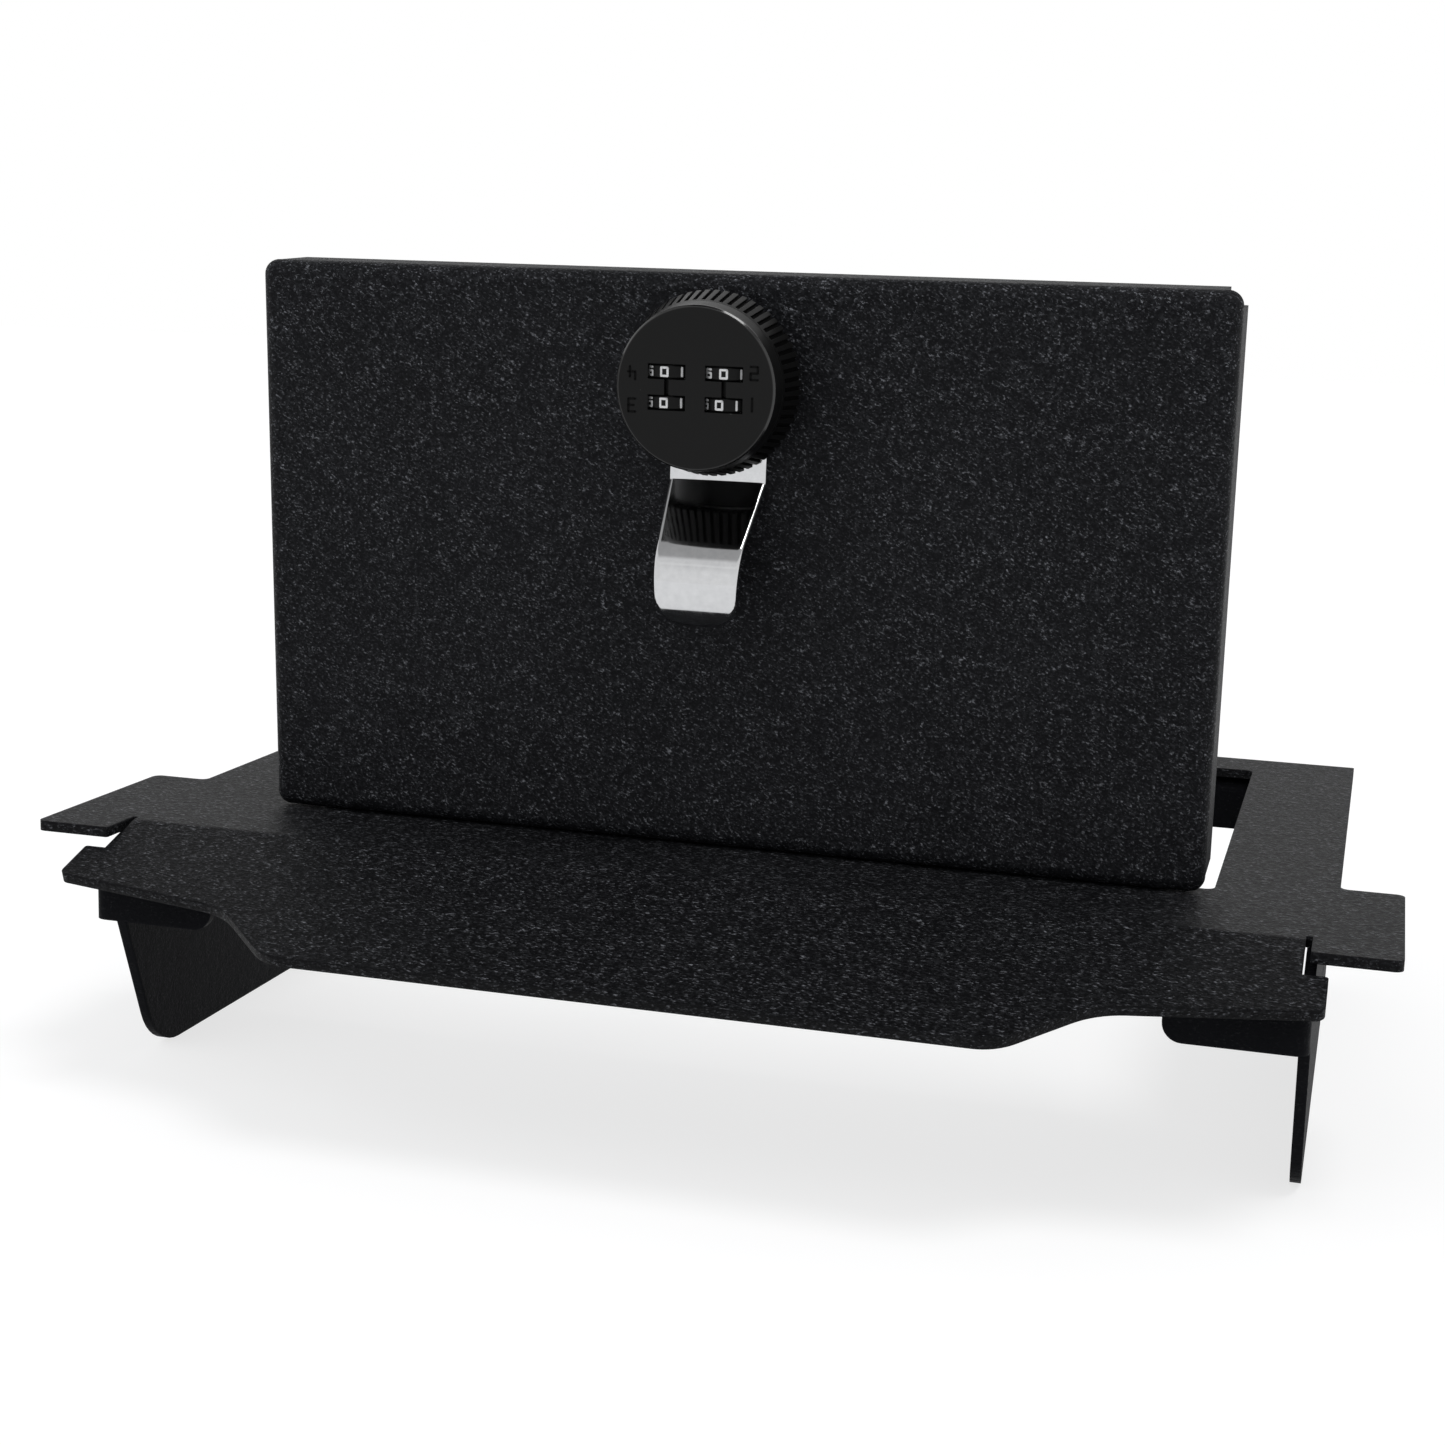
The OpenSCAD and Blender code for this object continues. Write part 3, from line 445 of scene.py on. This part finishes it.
upside_down = Matrix.Rotation(math.pi, 4, "Z")
for char, x, y in RAISED:
    digit = stroke_digit(char, RAISED_DIGIT, f"raised_{char}")
    digit.transform(KNOB @ Matrix.Translation((x * MM, y * MM, KNOB_H - SUNK)) @ upside_down)
    add_mesh(digit, f"raised_{char}", emboss_painted_dark, "knob")

# ---- pull handle -------------------------------------------------------------------------------
# The plated strip, drawn flat and then bent: under the knob it lies flat, slopes out and curls
# over. All its edges are rounded. s runs along the strip from the knob's axis towards the hinge.
STRIP_T = 1.5 * MM
STRIP_BEND = 25.9 * MM  # s where it leaves the lid
STRIP_BEND_R = 0.7 * MM
STRIP_RISE = math.radians(46)
STRIP_H = 21 * MM  # the top of the curl, over the lid
STRIP_SHIFT = -0.55 * MM  # sideways, from the bend on
STRIP_WIDTHS = (26.4 * MM, 23.5 * MM, 21.9 * MM)  # at the bend, at the curl's start and its end
STRIP_HOLE_R = 9.7 * MM
STRIP_CORNER = 8.5 * MM
STRIP_ROUND = (1.2 * MM, 0.72 * MM)  # how far in from the edge it starts, and how deep it goes
CURL_R = 16.5 * MM
CURL_END = math.radians(40.5)
TURN_STEPS = 12  # in a quarter turn of the outline and of the hole
ROUND_STEPS = 5  # from the side of an edge to its face
BEND_CUTS, CURL_CUTS = 6, 48


def along(angle):
    return Vector((-math.cos(angle), math.sin(angle)))


def across(angle):
    return Vector((math.sin(angle), math.cos(angle)))


bend_centre = Vector((-STRIP_BEND, STRIP_T + STRIP_BEND_R))
bend_stop = STRIP_BEND + STRIP_BEND_R * STRIP_RISE
slope_foot = bend_centre - STRIP_BEND_R * across(STRIP_RISE)
slope_h = STRIP_H - CURL_R * (1 - math.cos(STRIP_RISE)) - slope_foot.y
slope_l = slope_h / math.sin(STRIP_RISE)
curl_start = bend_stop + slope_l
curl_centre = slope_foot + slope_l * along(STRIP_RISE) - CURL_R * across(STRIP_RISE)
strip_l = curl_start + CURL_R * (STRIP_RISE + CURL_END)


def on_strip(s, height):
    """(y, z) of the point s along the strip and height above its back, and its slope there."""
    if s < STRIP_BEND:
        p, turn = Vector((-s, STRIP_T)), 0.0
    elif s < bend_stop:
        turn = (s - STRIP_BEND) / STRIP_BEND_R
        p = bend_centre - STRIP_BEND_R * across(turn)
    elif s < curl_start:
        turn = STRIP_RISE
        p = slope_foot + (s - bend_stop) * along(turn)
    else:
        turn = STRIP_RISE - (s - curl_start) / CURL_R
        p = curl_centre + CURL_R * across(turn)
    return p - (STRIP_T - height) * across(turn), turn


def quarter(first, stop):
    """Angles of the steps first to stop - 1 of a quarter turn."""
    return [math.radians(90 * k / TURN_STEPS) for k in range(first, stop)]


def strip_outline():
    """Points (x, s) and outward normals of the flat blank, with a half turn behind the knob."""
    w0, w1, w2 = (w / 2 for w in STRIP_WIDTHS)
    half = [(0.0, -w0)]
    half += [(w0 * math.sin(a), -w0 * math.cos(a)) for a in quarter(1, TURN_STEPS)]
    half += [(w0, 0.0), (w0, STRIP_BEND), (w1, curl_start), (w2, strip_l - STRIP_CORNER)]
    half += [(w2 - STRIP_CORNER * (1 - math.cos(a)), strip_l - STRIP_CORNER * (1 - math.sin(a)))
             for a in quarter(1, TURN_STEPS + 1)]
    loop = [Vector(p) for p in half] + [Vector((-x, s)) for x, s in reversed(half[1:])]
    normals = []
    for i, p in enumerate(loop):
        d = (loop[(i + 1) % len(loop)] - p).normalized() + (p - loop[i - 1]).normalized()
        normals.append(Vector((d.y, -d.x)).normalized())
    shift = [Vector((STRIP_SHIFT * min(1, max(0, p.y) / STRIP_BEND), 0)) for p in loop]
    return [p + q for p, q in zip(loop, shift)], normals


def rounded_edge():
    """Rows over the edge, front to back: inset, height, and the normal's parts outward and up."""
    inward, depth = STRIP_ROUND
    rows = []
    for a in (math.radians(90 * k / ROUND_STEPS) for k in range(ROUND_STEPS + 1)):
        rows.append((inward * (1 - math.sin(a)), STRIP_T - depth * (1 - math.cos(a)),
                     math.sin(a) / inward, math.cos(a) / depth))
    return rows + [(inset, STRIP_T - z, out, -up) for inset, z, out, up in reversed(rows)]


def flat_blank(bm, flat_normal):
    """The blank with its hole, each vertex with the normal it has while the strip is flat."""
    hole = [Vector((math.cos(a), math.sin(a))) for a in quarter(0, 4 * TURN_STEPS)]
    loops = (strip_outline(), ([h * STRIP_HOLE_R for h in hole], [-h for h in hole]))
    caps = {0: [], -1: []}
    for points, normals in loops:
        rings = []
        for inset, z, out, up in rounded_edge():
            ring = []
            for p, n in zip(points, normals):
                q = p - n * inset
                v = bm.verts.new((q.x, q.y, z))
                v[flat_normal] = Vector((n.x * out, n.y * out, up)).normalized()
                ring.append(v)
            rings.append(ring)
        pairs = [(i, (i + 1) % len(points)) for i in range(len(points))]
        for low, high in zip(rings, rings[1:]):
            for i, j in pairs:
                bm.faces.new((low[i], low[j], high[j], high[i]))
        for key, edges in caps.items():
            edges.extend(bm.edges.get((rings[key][i], rings[key][j])) for i, j in pairs)
    for edges in caps.values():
        bmesh.ops.triangle_fill(bm, edges=edges, use_beauty=True)


def pull_handle():
    bm = bmesh.new()
    flat_normal = bm.verts.layers.float_vector.new("flat_normal")
    flat_blank(bm, flat_normal)
    cuts = [STRIP_BEND + (bend_stop - STRIP_BEND) * k / BEND_CUTS for k in range(BEND_CUTS + 1)]
    cuts += [curl_start + (strip_l - curl_start) * k / CURL_CUTS for k in range(CURL_CUTS)]
    for s in cuts:
        bmesh.ops.bisect_plane(bm, geom=bm.verts[:] + bm.edges[:] + bm.faces[:],
                               plane_co=(0, s, 0), plane_no=(0, 1, 0), dist=1e-7)
    bmesh.ops.recalc_face_normals(bm, faces=bm.faces)
    normals = []
    for v in bm.verts:
        n = v[flat_normal].normalized()
        p, turn = on_strip(v.co.y, v.co.z)
        yz = n.y * along(turn) + n.z * across(turn)
        v.co = (v.co.x, p.x, p.y)
        normals.append(KNOB.to_3x3() @ Vector((n.x, yz.x, yz.y)))
    for f in bm.faces:
        f.smooth = True
    bmesh.ops.transform(bm, matrix=KNOB, verts=bm.verts)
    bmesh.ops.recalc_face_normals(bm, faces=bm.faces)
    me = bpy.data.meshes.new("pull_handle_plated")
    bm.to_mesh(me)
    bm.free()
    me.normals_split_custom_set_from_vertices(normals)
    return me


handle = add_mesh(pull_handle(), "pull_handle_plated", chrome, "lid")
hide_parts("pull_handle")

# ---- floor -------------------------------------------------------------------------------------
# To light rays the floor is pale; the camera and reflections see it nearly white, with a soft
# shadow.
FLOOR_HALF = 6
FLOOR_DROP = 0.0002  # under the feet, so that the two do not flicker
FLOOR_PALE = 0.55
FLOOR_SHADED = 0.34
FLOOR_GLOW = 0.72
scene = bpy.context.scene


def seen_rays(nt):
    """1 for rays of the camera, of reflections and of transmission, 0 for those that light."""
    rays = nt.nodes.new("ShaderNodeLightPath").outputs
    mirrored = math_node(nt, "MAXIMUM", rays["Is Glossy Ray"], rays["Is Transmission Ray"])
    return math_node(nt, "MAXIMUM", rays["Is Camera Ray"], mirrored)


def show_apart(nt, lighting, seen, surface):
    """The shader lighting for the rays that light, and seen for the others."""
    mix = nt.nodes.new("ShaderNodeMixShader")
    nt.links.new(seen_rays(nt), mix.inputs[0])
    nt.links.new(lighting.outputs[0], mix.inputs[1])
    nt.links.new(seen.outputs[0], mix.inputs[2])
    nt.links.new(mix.outputs[0], surface)


def diffuse(nt, v):
    n = nt.nodes.new("ShaderNodeBsdfDiffuse")
    n.inputs["Color"].default_value = (*grey(v), 1)
    return n


floor_mesh = bpy.data.meshes.new("floor")
bm = bmesh.new()
bmesh.ops.create_grid(bm, x_segments=1, y_segments=1, size=FLOOR_HALF)
bm.to_mesh(floor_mesh)
bm.free()
floor = bpy.data.objects.new("floor", floor_mesh)
floor.location.z = -FLOOR_DROP
scene.collection.objects.link(floor)
floor_white, nt, principled = material("floor_white")
nt.nodes.remove(principled)
glow = nt.nodes.new("ShaderNodeEmission")
glow.inputs["Strength"].default_value = FLOOR_GLOW
bright = nt.nodes.new("ShaderNodeAddShader")
nt.links.new(diffuse(nt, FLOOR_SHADED).outputs[0], bright.inputs[0])
nt.links.new(glow.outputs[0], bright.inputs[1])
show_apart(nt, diffuse(nt, FLOOR_PALE), bright, nt.nodes["Material Output"].inputs["Surface"])
floor_mesh.materials.append(floor_white)

# ---- world -------------------------------------------------------------------------------------
# White at the horizon and darker overhead for the camera and for reflections, plain for the rest.
WORLD_TINT = (0.95, 0.97, 1.0)
WORLD_LIGHT = 0.5
SKY = ((0.0, 1.0), (0.30, 1.0), (0.46, 0.86), (0.50, 1.0), (0.54, 0.86), (0.63, 0.86),
       (0.70, 0.45), (0.920, 0.43), (0.929, 0.03), (1.0, 0.03))  # height and grey
world = bpy.data.worlds.new("studio")
world.use_nodes = True
scene.world = world
nt = world.node_tree
plain = nt.nodes["Background"]
plain.inputs["Color"].default_value = (*WORLD_TINT, 1)
plain.inputs["Strength"].default_value = WORLD_LIGHT
direction = nt.nodes.new("ShaderNodeTexCoord")
height = nt.nodes.new("ShaderNodeSeparateXYZ")
nt.links.new(direction.outputs["Generated"], height.inputs[0])
sky = nt.nodes.new("ShaderNodeBackground")
nt.links.new(ramp(nt, height.outputs["Z"], [(z, grey(v)) for z, v in SKY]), sky.inputs["Color"])
show_apart(nt, plain, sky, nt.nodes["World Output"].inputs["Surface"])


# ---- lamps -------------------------------------------------------------------------------------
def sun(name, azimuth, elevation, strength, angle, glossy=True):
    """A far soft lamp at this azimuth (0 is +X, -90 the front) and elevation, in degrees."""
    lamp = bpy.data.lights.new(name, "SUN")
    lamp.energy = strength
    lamp.angle = math.radians(angle)
    ob = bpy.data.objects.new(name, lamp)
    az, el = math.radians(azimuth), math.radians(elevation)
    towards = Vector((math.cos(el) * math.cos(az), math.cos(el) * math.sin(az), math.sin(el)))
    ob.rotation_euler = towards.to_track_quat("Z", "Y").to_euler()
    ob.visible_glossy = glossy
    scene.collection.objects.link(ob)


sun("key", -125, 40, 0.7, 50, False)
sun("top", -29, 70, 1.12, 22)

# ---- camera, as fitted to the photo's corners of the plate and the lid -------------------------
CAMERA_AT = (0.1698, -0.6606, 0.2235)
CAMERA_YAW = math.radians(15.52)
CAMERA_DOWN = math.radians(10.62)
CAMERA_ROLL = math.radians(1.88)
SENSOR = 36
FOCAL_PIXELS = 2372
PHOTO_PIXELS = 1445
yaw = Matrix.Rotation(CAMERA_YAW, 3, "Z")
forward = yaw @ Vector((0, math.cos(CAMERA_DOWN), -math.sin(CAMERA_DOWN)))
level_x = yaw @ Vector((1, 0, 0))
level_y = yaw @ Vector((0, math.sin(CAMERA_DOWN), math.cos(CAMERA_DOWN)))
camera_x = math.cos(CAMERA_ROLL) * level_x + math.sin(CAMERA_ROLL) * level_y
camera_y = -math.sin(CAMERA_ROLL) * level_x + math.cos(CAMERA_ROLL) * level_y
aim = Matrix((camera_x, camera_y, -forward)).transposed().to_4x4()
lens = bpy.data.cameras.new("camera")
lens.sensor_width = SENSOR
lens.sensor_height = SENSOR
lens.sensor_fit = "HORIZONTAL"
lens.lens = SENSOR * FOCAL_PIXELS / PHOTO_PIXELS
lens.clip_start = 0.01
camera = bpy.data.objects.new("camera", lens)
camera.matrix_world = Matrix.Translation(CAMERA_AT) @ aim
scene.collection.objects.link(camera)
scene.camera = camera

scene.view_settings.view_transform = "Standard"
